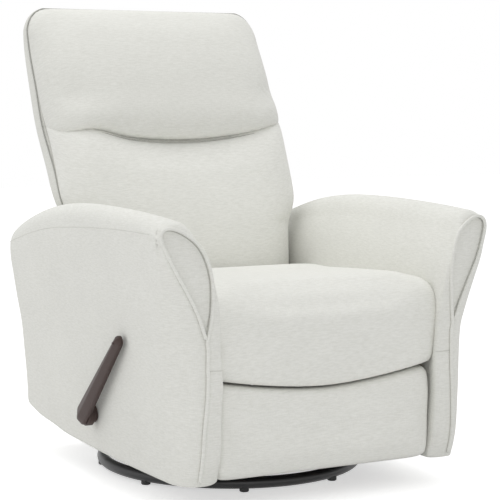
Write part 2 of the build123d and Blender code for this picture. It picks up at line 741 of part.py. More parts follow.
core_x = (arm_frame_x - soft_gap, arm_frame_x + arm_frame_thickness + soft_gap)
core_y = (frame_front_y - soft_gap, frame_rear_y + soft_gap)
with BuildPart() as arm_outside_right:
    add(arm_form.part)
    add(pad_zone.part, mode=Mode.SUBTRACT)
    block(core_x[0], core_x[1], *core_y, 0, arm_top_z + 100, mode=Mode.SUBTRACT)
    block(0, core_x[0], arm_front_y - 20, arm_rear_y + 20, 0, arm_top_z + 100, mode=Mode.SUBTRACT)
    disc(lever_pivot, core_x[1], tube_radius + 4, 60, Mode.SUBTRACT)

with BuildPart() as arm_inside_right:
    add(arm_form.part)
    add(pad_zone.part, mode=Mode.SUBTRACT)
    block(core_x[0], 500, arm_front_y - 20, arm_rear_y + 20, 0, arm_top_z + 100, mode=Mode.SUBTRACT)
    block(0, 500, rail_front_y - 5, arm_rear_y + 20, 0, rail_top_z + 2, mode=Mode.SUBTRACT)

for piece, name in ((arm_frame_right, "arm_frame"), (arm_pad_right, "arm_pad"),
                    (arm_outside_right, "arm_outside"), (arm_inside_right, "arm_inside")):
    with BuildPart() as arm_left:
        mirror(piece.part, about=Plane.YZ)
    keep(piece, name + "_right")
    keep(arm_left, name + "_left")

# round boss that stands on the outer panel around the lever tube
with BuildPart() as lever_boss:
    disc(lever_pivot, -lever_x + slip + 2, boss_radius, 22)
    chamfer(lever_boss.edges().group_by(Axis.X)[0], 2)
    disc(lever_pivot, -lever_x, tube_radius + 1, 26, Mode.SUBTRACT)
    mirror(arm_form.part, about=Plane.YZ, mode=Mode.SUBTRACT)
keep(lever_boss, "lever_boss")

# wooden cleats between the seat box and the arm frames, and the screws through them
cleat_x = rail_x + rail_thickness
with BuildPart() as arm_cleats:
    for y in cleat_y:
        block(cleat_x, arm_frame_x, *y, rail_bottom_z + 5, rail_top_z - 5)
    for spot in screw_spots:
        disc(spot, cleat_x, screw_radius, arm_frame_x - cleat_x, Mode.SUBTRACT)
    mirror(about=Plane.YZ)
keep(arm_cleats, "arm_cleats")

with BuildPart() as arm_screws:
    for spot in screw_spots:
        disc(spot, cleat_x - screw_bite, screw_radius - pin_fit, screw_seat_x - cleat_x + screw_bite)
        disc(spot, screw_seat_x, counterbore_radius - 2, 5)
    mirror(about=Plane.YZ)
keep(arm_screws, "arm_screws")

with BuildPart() as plate_bolts:
    for spot in bolt_spots:
        disc(spot, plate_x, screw_radius - pin_fit, steel + bolt_bite)
        disc(spot, plate_x - 3, 2 * screw_radius, 3)
    mirror(about=Plane.YZ)
keep(plate_bolts, "plate_bolts")

# ================================================================ back
waist_z = arm_top_z - 52     # the back fits between the arms below this height
shoulder_z = arm_top_z - 20  # and has its full width above this one
shell_shape = ((0.2, 40), (0.38, 51), (0.58, 53), (0.78, 49), (0.91, 34), (0.98, 20), (1, 8))
shell_depths = [(shell_bottom_z, 44), (back_knee_z, 42), (waist_z, 33), (shoulder_z, 30)]
shell_depths += [(shoulder_z + share * (back_top_z - shoulder_z), depth)
                 for share, depth in shell_shape]


def spine(z):
    """Depth of the back's frame at this height: upright below the knee, leaning above."""
    return hinge[0] + back_lean * max(0, z - back_knee_z)


def back_half_width(z):
    """Half width of the back: it fits between the arms below and is wider above them."""
    if z <= waist_z:
        return seat_half_width
    rise = (z - shoulder_z) / (back_top_z - shoulder_z)
    return seat_half_width + 30 + 6 * sin(radians(180 * min(1, max(0, rise))))


def pillow_section(z, front, rear, half_width):
    """Level section of a back pillow: crowned in front, round at its sides."""
    shoulder = front + 0.2 * (rear - front)
    middle = front + 0.6 * (rear - front)
    with BuildSketch(Plane.XY.offset(z)) as section:
        with BuildLine():
            crown = ThreePointArc((22 - half_width, shoulder), (0, front), (half_width - 22, shoulder))
            cheek = ThreePointArc(crown @ 1, (half_width, middle), (half_width - 8, rear))
            base = Line(cheek @ 1, (8 - half_width, rear))
            ThreePointArc(base @ 1, (-half_width, middle), crown @ 0)
        make_face()
    return section.sketch.face()


lumbar_bottom = cushion_bottom
lumbar_depths = ((lumbar_bottom, 98), (back_knee_z - 85, 122), (back_knee_z - 40, 123),
                 (back_knee_z + 25, 119), (waist_z, 121), (shoulder_z, 122),
                 (shoulder_z + 45, 119), (back_seam_middle_z - 40, 110),
                 (back_seam_middle_z - 6, 97), (back_seam_side_z + 23, 80))
head_bottom = back_seam_middle_z - 16
head_shape = ((0, 97), (0.16, 106), (0.34, 105), (0.55, 95), (0.74, 80), (0.88, 62), (0.96, 42), (1, 16))
head_depths = [(head_bottom + share * (back_top_z - head_bottom), depth)
               for share, depth in head_shape]


def spine_side(depth, reach, low, high):
    """Block on one side of a line along the spine, for trimming what lies against the frame."""
    line = [(spine(z) + depth, z) for z in (low, back_knee_z, high)]
    edge = [(spine(z) + depth + reach, z) for z in (high, back_knee_z, low)]
    with BuildSketch(Plane.YZ.offset(-400)) as zone:
        with BuildLine():
            Polyline(*line, *edge, close=True)
        make_face()
    return extrude(zone.sketch, amount=800, mode=Mode.PRIVATE)


def pillow(depths):
    """A pillow lofted through sections, each with its crown this far ahead of the spine."""
    loft([pillow_section(z, spine(z) - depth, spine(z), back_half_width(z)) for z, depth in depths],
         ruled=True)
    add(spine_side(-post_depth / 2 - soft_gap, 200, 0, 1100), mode=Mode.SUBTRACT)


def seam_zone(lift, upward):
    """Everything above, or below, the smile-shaped seam between the two pillows."""
    end_z = 1200 if upward else 0
    with BuildSketch(Plane.XZ.offset(-600)) as zone:
        with BuildLine():
            seam = ThreePointArc((-seat_half_width - 60, back_seam_side_z + lift),
                                 (0, back_seam_middle_z + lift),
                                 (seat_half_width + 60, back_seam_side_z + lift))
            Polyline(seam @ 1, (seat_half_width + 60, end_z), (-seat_half_width - 60, end_z), seam @ 0)
        make_face()
    return extrude(zone.sketch, amount=900, mode=Mode.PRIVATE)


with BuildPart() as lumbar_cushion:
    pillow(lumbar_depths)
    add(seam_zone(-soft_gap, True), mode=Mode.SUBTRACT)
keep(lumbar_cushion, "lumbar_cushion")

with BuildPart() as head_cushion:
    pillow(head_depths)
    add(seam_zone(soft_gap, False), mode=Mode.SUBTRACT)
keep(head_cushion, "head_cushion")


def shell_section(z, inset, rear_depth):
    """Level section of the outer back: flat in front, round rear corners."""
    half = back_half_width(z) - inset
    waist = spine(z) + 0.4 * rear_depth
    rear = spine(z) + rear_depth
    with BuildSketch(Plane.XY.offset(z)) as section:
        with BuildLine():
            face = Line((-half, spine(z) - post_depth), (half, spine(z) - post_depth))
            side = Line(face @ 1, (half, waist))
            corner = ThreePointArc(side @ 1, (0.97 * half, waist + 0.45 * (rear - waist)),
                                   (0.82 * half, rear - 4))
            middle = ThreePointArc(corner @ 1, (0, rear + 6), (-0.82 * half, rear - 4))
            far = ThreePointArc(middle @ 1, (-0.97 * half, waist + 0.45 * (rear - waist)),
                                (-half, waist))
            Line(far @ 1, face @ 0)
        make_face()
    return section.sketch.face()


shell_wall = 14
half_cavity = seat_half_width - shell_wall
with BuildPart() as outer_back:
    loft([shell_section(z, 4, depth) for z, depth in shell_depths], ruled=True)
    add(spine_side(-post_depth / 2, -200, 0, 1100), mode=Mode.SUBTRACT)
    plate([(spine(z) - 60, z) for z in (shell_bottom_z - 1, back_knee_z, back_top_z - 22)]
          + [(spine(z) + post_depth / 2 + soft_gap, z)
             for z in (back_top_z - 22, back_knee_z, shell_bottom_z - 1)],
          -half_cavity, 2 * half_cavity, Mode.SUBTRACT)
    block(-half_cavity, half_cavity, hinge[0] - 60, hinge[0] + hinge_pocket, shell_bottom_z - 1,
          hinge[1] + 40, Mode.SUBTRACT)
keep(outer_back, "outer_back")

# wooden back frame: two posts bent at the knee, and rails between them
post_top = back_top_z - 75
post_foot = hinge[1] + 10
with BuildPart() as back_posts:
    half = post_depth / 2
    plate([(spine(z) - half, z) for z in (post_foot, back_knee_z, post_top)]
          + [(spine(z) + half, z) for z in (post_top, back_knee_z, post_foot)],
          post_x, post_width)
    mirror(about=Plane.YZ)
keep(back_posts, "back_posts")


def back_rail(low, high, half_length):
    """A rail across the back between two heights."""
    half = post_depth / 2
    plate([(spine(low) - half, low), (spine(high) - half, high), (spine(high) + half, high),
           (spine(low) + half, low)], -half_length, 2 * half_length)


with BuildPart() as back_top_rail:
    back_rail(post_top, post_top + 36, half_cavity - soft_gap)
keep(back_top_rail, "back_top_rail")

middle_rail_z = (back_seam_middle_z - 16, back_seam_middle_z + 24)
with BuildPart() as back_middle_rail:
    back_rail(middle_rail_z[0], middle_rail_z[1], post_x)
keep(back_middle_rail, "back_middle_rail")

bottom_rail_top = hinge[1] + 60
with BuildPart() as back_bottom_rail:
    back_rail(hinge[1] + 14, bottom_rail_top, post_x)
keep(back_bottom_rail, "back_bottom_rail")

# elastic webbing stretched between the posts
webbing_width = 50
lower_bay = middle_rail_z[0] - bottom_rail_top
upper_bay = post_top - middle_rail_z[1]
webbing_z = [bottom_rail_top + share * lower_bay for share in (0.2, 0.5, 0.8)]
webbing_z += [middle_rail_z[1] + share * upper_bay for share in (0.33, 0.72)]
with BuildPart() as back_webbing:
    run = webbing_width / 2
    for z in webbing_z:
        plate([(spine(z - run) - 2, z - run), (spine(z + run) - 2, z + run),
               (spine(z + run), z + run), (spine(z - run), z - run)], -post_x, 2 * post_x)
keep(back_webbing, "back_webbing")

# steel straps bolted to the posts that turn on the hinge bolts
strap_x = post_x + post_width
with BuildPart() as back_brackets:
    bar(hinge, (hinge[0], hinge[1] + 150), strap_x, post_depth, steel)
    disc(hinge, strap_x, rivet_radius + pin_fit, steel, Mode.SUBTRACT)
    mirror(about=Plane.YZ)
keep(back_brackets, "back_brackets")

with BuildPart() as hinge_bolts:
    disc(hinge, strap_x - slip - 4, 1.7 * rivet_radius, 4)
    disc(hinge, strap_x - slip, rivet_radius, rail_x - strap_x + slip)
    disc(hinge, strap_x + steel + slip, 1.7 * rivet_radius, plate_x - strap_x - steel - slip)
    disc(hinge, rail_x, 1.7 * rivet_radius, 5)
    mirror(about=Plane.YZ)
keep(hinge_bolts, "hinge_bolts")

# padded panel that closes the rear of the seat body below the back
rear_panel_top = rail_top_z - 30
with BuildPart() as rear_panel:
    block(-arm_inner_bottom_x + 4, arm_inner_bottom_x - 4, arm_rear_y - 30, arm_rear_y - 14,
          arm_bottom_z + 20, rear_panel_top)
    fillet(rear_panel.edges().filter_by(Axis.X), 6)
keep(rear_panel, "rear_panel")
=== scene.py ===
import bpy
import bmesh
import json
import numpy as np
from mathutils import Matrix, Vector


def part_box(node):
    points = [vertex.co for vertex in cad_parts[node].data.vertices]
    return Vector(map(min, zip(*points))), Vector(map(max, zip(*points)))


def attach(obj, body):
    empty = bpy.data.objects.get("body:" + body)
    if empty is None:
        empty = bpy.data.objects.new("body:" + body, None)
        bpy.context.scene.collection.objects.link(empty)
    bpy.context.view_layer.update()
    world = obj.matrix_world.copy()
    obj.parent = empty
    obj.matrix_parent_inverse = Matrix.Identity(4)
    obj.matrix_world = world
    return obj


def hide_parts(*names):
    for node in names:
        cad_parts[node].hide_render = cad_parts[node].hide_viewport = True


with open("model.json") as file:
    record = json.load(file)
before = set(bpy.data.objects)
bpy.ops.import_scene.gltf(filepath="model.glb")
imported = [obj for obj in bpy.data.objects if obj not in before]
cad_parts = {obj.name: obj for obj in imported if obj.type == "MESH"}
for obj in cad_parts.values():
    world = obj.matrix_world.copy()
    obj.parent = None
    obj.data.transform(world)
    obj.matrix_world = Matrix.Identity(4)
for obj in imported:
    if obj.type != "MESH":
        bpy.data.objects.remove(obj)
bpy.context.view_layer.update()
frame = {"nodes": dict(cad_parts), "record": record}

# ------------------------------------------------------------------ camera
# The chair is seen from its right front, a little below the top of the back, through a long
# lens from almost four metres away.
yaw, pitch, roll = 0.5137, -0.0999, 0.0063
ahead = Vector((np.sin(yaw) * np.cos(pitch), np.cos(yaw) * np.cos(pitch), np.sin(pitch)))
level = Vector((np.cos(yaw), -np.sin(yaw), 0))
upward = level.cross(ahead)
right = level * np.cos(roll) + upward * np.sin(roll)
upward = right.cross(ahead)
camera_data = bpy.data.cameras.new("camera")
camera_data.lens = 123.67
camera_data.shift_x = 0.0138
camera_data.shift_y = -0.0002
camera = bpy.data.objects.new("camera", camera_data)
camera.matrix_world = Matrix((
    (right.x, upward.x, -ahead.x, -1.8360),
    (right.y, upward.y, -ahead.y, -3.3383),
    (right.z, upward.z, -ahead.z, 0.8567),
    (0, 0, 0, 1)))
bpy.context.scene.collection.objects.link(camera)
bpy.context.scene.camera = camera
bpy.context.scene.view_settings.view_transform = "Standard"

# ------------------------------------------------------------------ studio
# A pale floor under plain soft light: an even white surround and one broad lamp overhead.
# The floor is white to the eye and keeps the chair's shadow.


def nodes_of(owner):
    """An empty node tree, a function that adds a node with settings, and one that links sockets."""
    owner.use_nodes = True
    tree = owner.node_tree
    tree.nodes.clear()

    def add(kind, inputs=(), **settings):
        node = tree.nodes.new(kind)
        for name, value in settings.items():
            setattr(node, name, value)
        for name, value in dict(inputs).items():
            if isinstance(value, bpy.types.NodeSocket):
                tree.links.new(value, node.inputs[name])
            else:
                node.inputs[name].default_value = value
        return node

    return add


world = bpy.data.worlds.new("surround")
bpy.context.scene.world = world
add = nodes_of(world)
path = add("ShaderNodeLightPath")
seen = add("ShaderNodeMath", {0: path.outputs["Is Camera Ray"], 1: path.outputs["Is Glossy Ray"]},
           operation="MAXIMUM")
seen = add("ShaderNodeMath", {0: seen.outputs[0], 1: path.outputs["Is Transmission Ray"]},
           operation="MAXIMUM")
lit = add("ShaderNodeBackground", {"Color": (1.0, 1.0, 1.0, 1), "Strength": 0.71})
white = add("ShaderNodeBackground", {"Color": (1, 1, 1, 1), "Strength": 1.0})
mixed = add("ShaderNodeMixShader", {0: seen.outputs[0], 1: lit.outputs[0], 2: white.outputs[0]})
add("ShaderNodeOutputWorld", {"Surface": mixed.outputs[0]})


def lamp(name, place, target, size, energy):
    """A square soft lamp that faces its target."""
    data = bpy.data.lights.new(name, "AREA")
    data.size = size
    data.energy = energy
    made = bpy.data.objects.new(name, data)
    made.location = place
    made.rotation_mode = "QUATERNION"
    made.rotation_quaternion = (Vector(target) - Vector(place)).to_track_quat("-Z", "Y")
    bpy.context.scene.collection.objects.link(made)
    return made


lamp("overhead_lamp", (-0.1, 0.6, 3.2), (0, 0.1, 0.4), 2.0, 28)
lamp("front_lamp", (-1.0, -3.2, 0.5), (0, 0, 0.1), 1.8, 8.5)
lamp("side_lamp", (-3.6, 0.6, 1.2), (0, 0, 0.4), 2.8, 13)

floor_mesh = bpy.data.meshes.new("floor")
floor_mesh.from_pydata([(-9, -9, 0), (9, -9, 0), (9, 9, 0), (-9, 9, 0)], [], [(0, 1, 2, 3)])
floor = bpy.data.objects.new("floor", floor_mesh)
bpy.context.scene.collection.objects.link(floor)
floor_paint = bpy.data.materials.new("floor_paint")
add = nodes_of(floor_paint)
path = add("ShaderNodeLightPath")
paint = add("ShaderNodeBsdfDiffuse", {"Color": (0.86, 0.86, 0.86, 1)})
glow = add("ShaderNodeEmission", {"Color": (1, 1, 1, 1), "Strength": 0.55})
seen = add("ShaderNodeMath", {0: path.outputs["Is Camera Ray"], 1: path.outputs["Is Glossy Ray"]},
           operation="MAXIMUM")
extra = add("ShaderNodeEmission", {"Color": (1, 1, 1, 1), "Strength": 0.0})
part = add("ShaderNodeMixShader", {0: seen.outputs[0], 1: extra.outputs[0], 2: glow.outputs[0]})
both = add("ShaderNodeAddShader", {0: paint.outputs[0], 1: part.outputs[0]})
add("ShaderNodeOutputMaterial", {"Surface": both.outputs[0]})
floor_mesh.materials.append(floor_paint)

# ------------------------------------------------------------------ arms
# Each arm is a padded wooden panel covered in linen-look cloth: flared outside, rolled on top,
# with a leaf-shaped front panel edged in piping. The cloth is stapled underneath and behind, and
# the piping runs on below the leaf to close the front.


def through(knots, at):
    """Smooth line through knots, rows of (where, what, ...): a natural cubic spline, held flat
    beyond its ends."""
    knots = np.asarray(knots, float)
    t, v = knots[:, 0], knots[:, 1:]
    h = np.diff(t)
    k = np.arange(1, len(t) - 1)
    bend = np.eye(len(t))
    bend[k, k - 1], bend[k, k], bend[k, k + 1] = h[:-1], 2 * (h[:-1] + h[1:]), h[1:]
    slope = np.diff(v, axis=0) / h[:, None]
    pull = np.zeros_like(v)
    pull[1:-1] = 6 * np.diff(slope, axis=0)
    m = np.linalg.solve(bend, pull)
    at = np.clip(np.asarray(at, float), t[0], t[-1])
    i = np.clip(np.searchsorted(t, at, side="right") - 1, 0, len(t) - 2)
    a, b, w = (t[i + 1] - at)[..., None], (at - t[i])[..., None], h[i][..., None]
    line = (m[i] * a ** 3 + m[i + 1] * b ** 3) / (6 * w)
    line += (v[i] / w - m[i] * w / 6) * a + (v[i + 1] / w - m[i + 1] * w / 6) * b
    return line[..., 0] if v.shape[1] == 1 else line


def ramp(value, start, end):
    """0 before start, 1 after end, and smooth between them."""
    share = np.clip((value - start) / (end - start), 0, 1)
    return share * share * (3 - 2 * share)


def surface(name, grid):
    """Mesh through a grid of points (rows, columns, xyz). The columns close into a ring; points
    that fall together are merged, and the faces are turned outwards."""
    rows, columns = grid.shape[:2]
    number = np.arange(rows * columns).reshape(rows, columns)
    number = np.concatenate([number, number[:, :1]], 1)
    quads = np.stack([number[:-1, :-1], number[1:, :-1], number[1:, 1:], number[:-1, 1:]], -1)
    mesh = bpy.data.meshes.new(name)
    mesh.from_pydata(grid.reshape(-1, 3).tolist(), [], quads.reshape(-1, 4).tolist())
    work = bmesh.new()
    work.from_mesh(mesh)
    bmesh.ops.remove_doubles(work, verts=work.verts, dist=2e-5)
    bmesh.ops.dissolve_degenerate(work, edges=work.edges, dist=1e-6)
    bmesh.ops.recalc_face_normals(work, faces=work.faces)
    work.to_mesh(mesh)
    work.free()
    mesh.shade_smooth()
    piece = bpy.data.objects.new(name, mesh)
    bpy.context.scene.collection.objects.link(piece)
    return piece


def cloth(name, turn=0.0, tint=(0.83, 0.83, 0.79)):
    """Off-white slubby linen. Thin noise drawn out along the weft gives the slubs, finer noise
    across it the warp, and a broad one the shade from dye and wear. turn tips the cloth about
    X, so that the weft lies in the surface."""
    made = bpy.data.materials.new(name)
    add = nodes_of(made)
    where = add("ShaderNodeTexCoord")
    lie = add("ShaderNodeMapping", {"Vector": where.outputs["Object"], "Rotation": (turn, 0, 0)})

    def noise(scale, detail):
        spread = add("ShaderNodeMapping", {"Vector": lie.outputs[0], "Scale": scale})
        return add("ShaderNodeTexNoise", {"Vector": spread.outputs[0], "Scale": 1.0,
                                          "Detail": detail}).outputs[0]

    slub = noise((75, 75, 430), 3.0)
    weft = noise((260, 260, 1500), 2.0)
    warp = noise((900, 900, 110), 2.0)
    cloud = noise((7, 7, 7), 3.0)
    weave = add("ShaderNodeMix", {"Factor": 0.5, "A": weft, "B": warp}, data_type="FLOAT")
    body = add("ShaderNodeMix", {"Factor": 0.5, "A": slub, "B": weave.outputs[0]},
               data_type="FLOAT")
    tone = add("ShaderNodeMapRange", {"Value": body.outputs[0], "From Min": 0.32,
                                      "From Max": 0.68})
    shade = add("ShaderNodeMapRange", {"Value": cloud, "From Min": 0.3, "From Max": 0.7,
                                       "To Min": 0.972, "To Max": 1.0})
    dark = [c * share for c, share in zip(tint, (0.88, 0.88, 0.862))]
    pale = [c * 1.045 for c in tint]
    colour = add("ShaderNodeMix", {"Factor": tone.outputs[0], "A": (*dark, 1), "B": (*pale, 1)},
                 data_type="RGBA")
    colour = add("ShaderNodeVectorMath", {0: colour.outputs[2], "Scale": shade.outputs[0]},
                 operation="SCALE")
    rough = add("ShaderNodeMapRange", {"Value": body.outputs[0], "To Min": 0.82, "To Max": 0.97})
    bump = add("ShaderNodeBump", {"Height": body.outputs[0], "Strength": 0.35, "Distance": 0.0006})
    skin = add("ShaderNodeBsdfPrincipled", {
        "Base Color": colour.outputs[0], "Roughness": rough.outputs[0],
        "Normal": bump.outputs[0], "Specular IOR Level": 0.2, "Sheen Weight": 0.2,
        "Sheen Roughness": 0.55})
    add("ShaderNodeOutputMaterial", {"Surface": skin.outputs[0]})
    return made


arm_linen = cloth("arm_linen")

# profile of the arm's top and of its lower edge, along the arm, and of its front, by height
arm_top = [(-0.470, 0.579), (-0.428, 0.583), (-0.355, 0.588), (-0.243, 0.592), (-0.100, 0.593),
           (0.022, 0.588), (0.108, 0.578), (0.152, 0.570), (0.198, 0.559), (0.244, 0.546),
           (0.291, 0.530), (0.345, 0.506)]
arm_sole = [(-0.470, 0.061), (-0.250, 0.060), (-0.030, 0.063), (0.054, 0.066), (0.141, 0.071),
            (0.187, 0.077), (0.280, 0.088), (0.315, 0.096), (0.333, 0.105), (0.345, 0.124)]
arm_face = [(0.055, -0.437), (0.077, -0.445), (0.110, -0.454), (0.141, -0.458), (0.170, -0.459),
            (0.229, -0.461), (0.287, -0.460), (0.345, -0.460), (0.401, -0.465), (0.440, -0.4655),
            (0.476, -0.464), (0.513, -0.4595), (0.532, -0.4560), (0.558, -0.4510), (0.60, -0.444)]
roll_height = 0.044
heel = 0.010                # radius of the lower corners
sides, rolls, soles = 96, 44, 10        # points on a side, on the roll, on half the sole

rise = np.linspace(0, 1, sides)
outer_x = through([(0, 0.3365), (0.172, 0.340), (0.326, 0.345), (0.52, 0.352), (0.676, 0.362),
                   (0.844, 0.3715), (0.94, 0.3765), (1, 0.3775)], rise)
inner_x = through([(0, 0.2515), (0.2, 0.2570), (0.4, 0.2620), (0.6, 0.2680), (0.76, 0.2725),
                   (0.86, 0.2795), (0.94, 0.2910), (1, 0.3030)], rise)
turn = np.linspace(0, 1, rolls + 2)[1:-1]
roll_x, roll_z = through([(0, 0.3775, 0), (0.16, 0.3765, 0.36), (0.33, 0.3690, 0.74),
                          (0.47, 0.3560, 0.96), (0.56, 0.3440, 1.0), (0.68, 0.3290, 0.90),
                          (0.84, 0.3130, 0.52), (1, 0.3030, 0)], turn).T
quarter = np.linspace(0, np.pi / 2, 6)
flat = np.linspace(0, 1, soles - 5)[:-1]
middle_x = 0.298
sole_outer = np.concatenate([middle_x + (0.337 - heel - middle_x) * flat,
                             0.337 - heel + heel * np.sin(quarter)])[:-1]
sole_inner = np.concatenate([middle_x + (0.2515 + heel - middle_x) * flat,
                             0.2515 + heel - heel * np.sin(quarter)])[:-1]
sole_lift = np.concatenate([0 * flat, heel * (1 - np.cos(quarter))])[:-1]
ring_x = np.concatenate([sole_outer, outer_x, roll_x, inner_x[::-1], sole_inner[::-1]])
ring_lift = np.concatenate([sole_lift, 0 * rise + heel, 0 * turn + heel, 0 * rise + heel,
                            sole_lift[::-1]])
ring_rise = np.concatenate([0 * sole_lift, rise, 0 * turn + 1, rise[::-1], 0 * sole_lift])
ring_roll = np.concatenate([0 * sole_lift, 0 * rise, roll_z, 0 * rise, 0 * sole_lift])


def arm_height(y):
    """Height of each point of the arm's ring at depth y: sole, straight side and roll added."""
    top, sole = through(arm_top, y), through(arm_sole, y)
    side = top - roll_height - sole - heel
    return sole + ring_lift + ring_rise * side + ring_roll * roll_height


# outline of the leaf on the arm's front, and the welt under it, point for point with the ring
front_sole = through(arm_sole, -0.44) + 0.002
front_side = through(arm_top, -0.44) - roll_height
leaf_foot = 0.356            # height where the leaf's two sides meet
leaf_z = front_sole + heel + rise * (front_side - front_sole - heel)
welt_foot = [(0.05, 0.2955), (0.11, 0.2970), (0.141, 0.2960), (0.170, 0.2950), (0.199, 0.2930),
             (0.229, 0.2905), (0.258, 0.2885), (0.316, 0.2880), (0.345, 0.2895)]
leaf_outer = through(welt_foot + [(0.367, 0.2975), (0.395, 0.3080), (0.423, 0.3210),
                                  (0.453, 0.3370), (0.481, 0.3525), (0.511, 0.3670),
                                  (0.539, 0.3790)], leaf_z)
leaf_inner = through(welt_foot + [(0.367, 0.2875), (0.380, 0.2855), (0.401, 0.2830),
                                  (0.421, 0.2815), (0.440, 0.2810), (0.458, 0.2815),
                                  (0.476, 0.2832), (0.495, 0.2870), (0.513, 0.2925),
                                  (0.532, 0.3020), (0.539, 0.3065)], leaf_z)
leaf_inner = np.where(leaf_z < leaf_foot, leaf_outer, np.minimum(leaf_inner, leaf_outer))
leaf_roll = through([(0, 0.3790, 0.539), (0.18, 0.3825, 0.556), (0.34, 0.3760, 0.5680),
                     (0.48, 0.3620, 0.5710), (0.64, 0.3440, 0.5660), (0.82, 0.3235, 0.5540),
                     (1, 0.3065, 0.539)], turn)
line_x = np.concatenate([0 * sole_outer + leaf_outer[0], leaf_outer, leaf_roll[:, 0], leaf_inner[::-1],
                         0 * sole_inner + leaf_outer[0]])
line_z = np.concatenate([0 * sole_lift + front_sole, leaf_z, leaf_roll[:, 1], leaf_z[::-1],
                         0 * sole_lift + front_sole])
soft_outer = through([(0, 0.080), (0.5, 0.092), (0.72, 0.078), (0.86, 0.040), (1, 0.014)], rise)
soft_inner = through([(0, 0.012), (0.5, 0.013), (0.75, 0.013), (1, 0.015)], rise)
nose = np.concatenate([np.linspace(0.030, 0.080, len(sole_lift)), soft_outer,
                       0.014 + 0.001 * turn + 0.010 * np.sin(np.pi * turn), soft_inner[::-1],
                       np.linspace(0.012, 0.030, len(sole_lift))])
spine_x = np.concatenate([0 * sole_lift + 0.298, (outer_x + inner_x) / 2,
                          0 * turn + (outer_x[-1] + inner_x[-1]) / 2,
                          (outer_x + inner_x)[::-1] / 2, 0 * sole_lift + 0.298])
leaf_middle = np.concatenate([0 * sole_lift + 0.289, (leaf_outer + leaf_inner) / 2,
                              0 * turn + (leaf_outer[-1] + leaf_inner[-1]) / 2,
                              (leaf_outer + leaf_inner)[::-1] / 2, 0 * sole_lift + 0.289])


def arm_across(y):
    """Distance of each point of the ring from the chair's middle: the ring, with the shoulder
    flared a little more and the inner side filled out towards the front."""
    shoulder = np.clip((ring_x - 0.33) / 0.045, 0, 1) * ring_rise ** 3
    fill = np.clip((0.29 - ring_x) / 0.01, 0, 1) * np.sin(np.pi * np.clip(ring_rise / 0.95, 0, 1))
    fill = fill * (0.6 + 0.4 * ramp(ring_rise, 0.30, 0.42))
    return (ring_x + 0.009 * shoulder * np.clip((-0.26 - y) / 0.17, 0, 1) ** 2
            - 0.0130 * fill * np.clip((-0.412 - y) / 0.038, 0, 1) ** 1.5)


def pucker(y, z):
    """Short creases that run out from the leaf's outer top corner, as a push inwards."""
    along, up = y + 0.440, z - 0.548
    far, bearing = np.hypot(along, up), np.arctan2(up, along)
    return (0.0035 * (0.8 + np.cos(8 * bearing + 0.6)) * ramp(far, 0.004, 0.016)
            * np.exp(-far / 0.018))


def arm_front(x, z):
    """Depth of the arm's front at a height: a little further back towards the outer side."""
    return through(arm_face, z) + 0.09 * np.clip(x - 0.287, 0, 1)


def arm_grid():
    """Rows of rings from the middle of the rear face, round its edge, along the arm, round the
    nose to the leaf's outline, and over the leaf to its middle line. Each corner is a quarter
    of an ellipse between the ring and the line that it turns to, squarer on the inner side."""
    rear_y, rear_soft = 0.345, 0.020     # depth of the rear face, radius of its edge
    rear_ring = arm_height(rear_y)
    inset_x = ring_x + (spine_x - ring_x) * 0.28
    inset_z = rear_ring + (0.30 - rear_ring) * 0.05
    rows = []
    core_z = np.clip(rear_ring, rear_ring.min() + 0.03, rear_ring.max() - 0.045)
    core_z = np.concatenate([0 * sole_lift + core_z.min(), core_z[soles - 1:][:sides],
                             0 * turn + core_z.max(), core_z[soles - 1:][:sides][::-1],
                             0 * sole_lift + core_z.min()])
    for share in np.linspace(0, 1, 7)[:-1]:
        rows.append(np.stack([spine_x + (inset_x - spine_x) * share, 0 * ring_x + rear_y,
                              core_z + (inset_z - core_z) * share], -1))
    for t in np.linspace(np.pi / 2, 0, 9):
        y = rear_y - rear_soft * (1 - np.sin(t))
        z = arm_height(y)
        rows.append(np.stack([inset_x + (ring_x - inset_x) * np.cos(t), 0 * ring_x + y,
                              inset_z + (z - inset_z) * np.cos(t)], -1))
    front_y = arm_front(ring_x, arm_height(-0.44))
    for share in np.linspace(0, 1, 170)[1:] ** 0.72:
        y = rear_y - rear_soft + (front_y + nose - rear_y + rear_soft) * share
        z = arm_height(y)
        outer = np.clip((ring_x - 0.335) / 0.02, 0, 1)
        rows.append(np.stack([arm_across(y) - outer * pucker(y, z), y, z], -1))
    base_x, base_z = rows[-1][:, 0], rows[-1][:, 2]
    line_y = arm_front(line_x, line_z)
    square = np.concatenate([0 * sole_lift + 1, 0 * rise + 1, 0 * turn + 1,
                             1 - 0.5 * ramp(rise[::-1], 0.0, 0.12) * ramp(1 - rise[::-1], 0.0, 0.3),
                             0 * sole_lift + 1])
    for t in (*np.linspace(0, 1.48, 18)[1:], 1.52, 1.55, 1.565, np.pi / 2):
        near, up = np.cos(t) ** square, np.sin(t) ** square
        y = line_y + (front_y - line_y) * near + nose * (1 - up)
        y = y + 0.0022 * np.exp(-(near / 0.10) ** 2)
        z = line_z + (base_z - line_z) * near
        push = outer * pucker(y, z) * near
        rows.append(np.stack([line_x + (base_x - line_x) * near - push, y + push, z], -1))
    top_fold = np.concatenate([line_z[:soles - 1 + sides], 0 * turn + leaf_z[-1],
                               line_z[soles - 1 + sides + rolls:]])
    for share in (0.08, 0.18, 0.32, 0.48, 0.65, 0.83, 1.0):
        x = line_x + (leaf_middle - line_x) * share
        z = line_z + (top_fold - line_z) * share
        apart = np.hypot(x - line_x, z - line_z)
        sunk = 0.0045 * (1 - np.exp(-apart / 0.0035)) - 0.004 * np.clip(apart / 0.03, 0, 1) ** 0.5
        rows.append(np.stack([x, arm_front(x, z) + 0.0022 + sunk, z], -1))
    return np.array(rows)


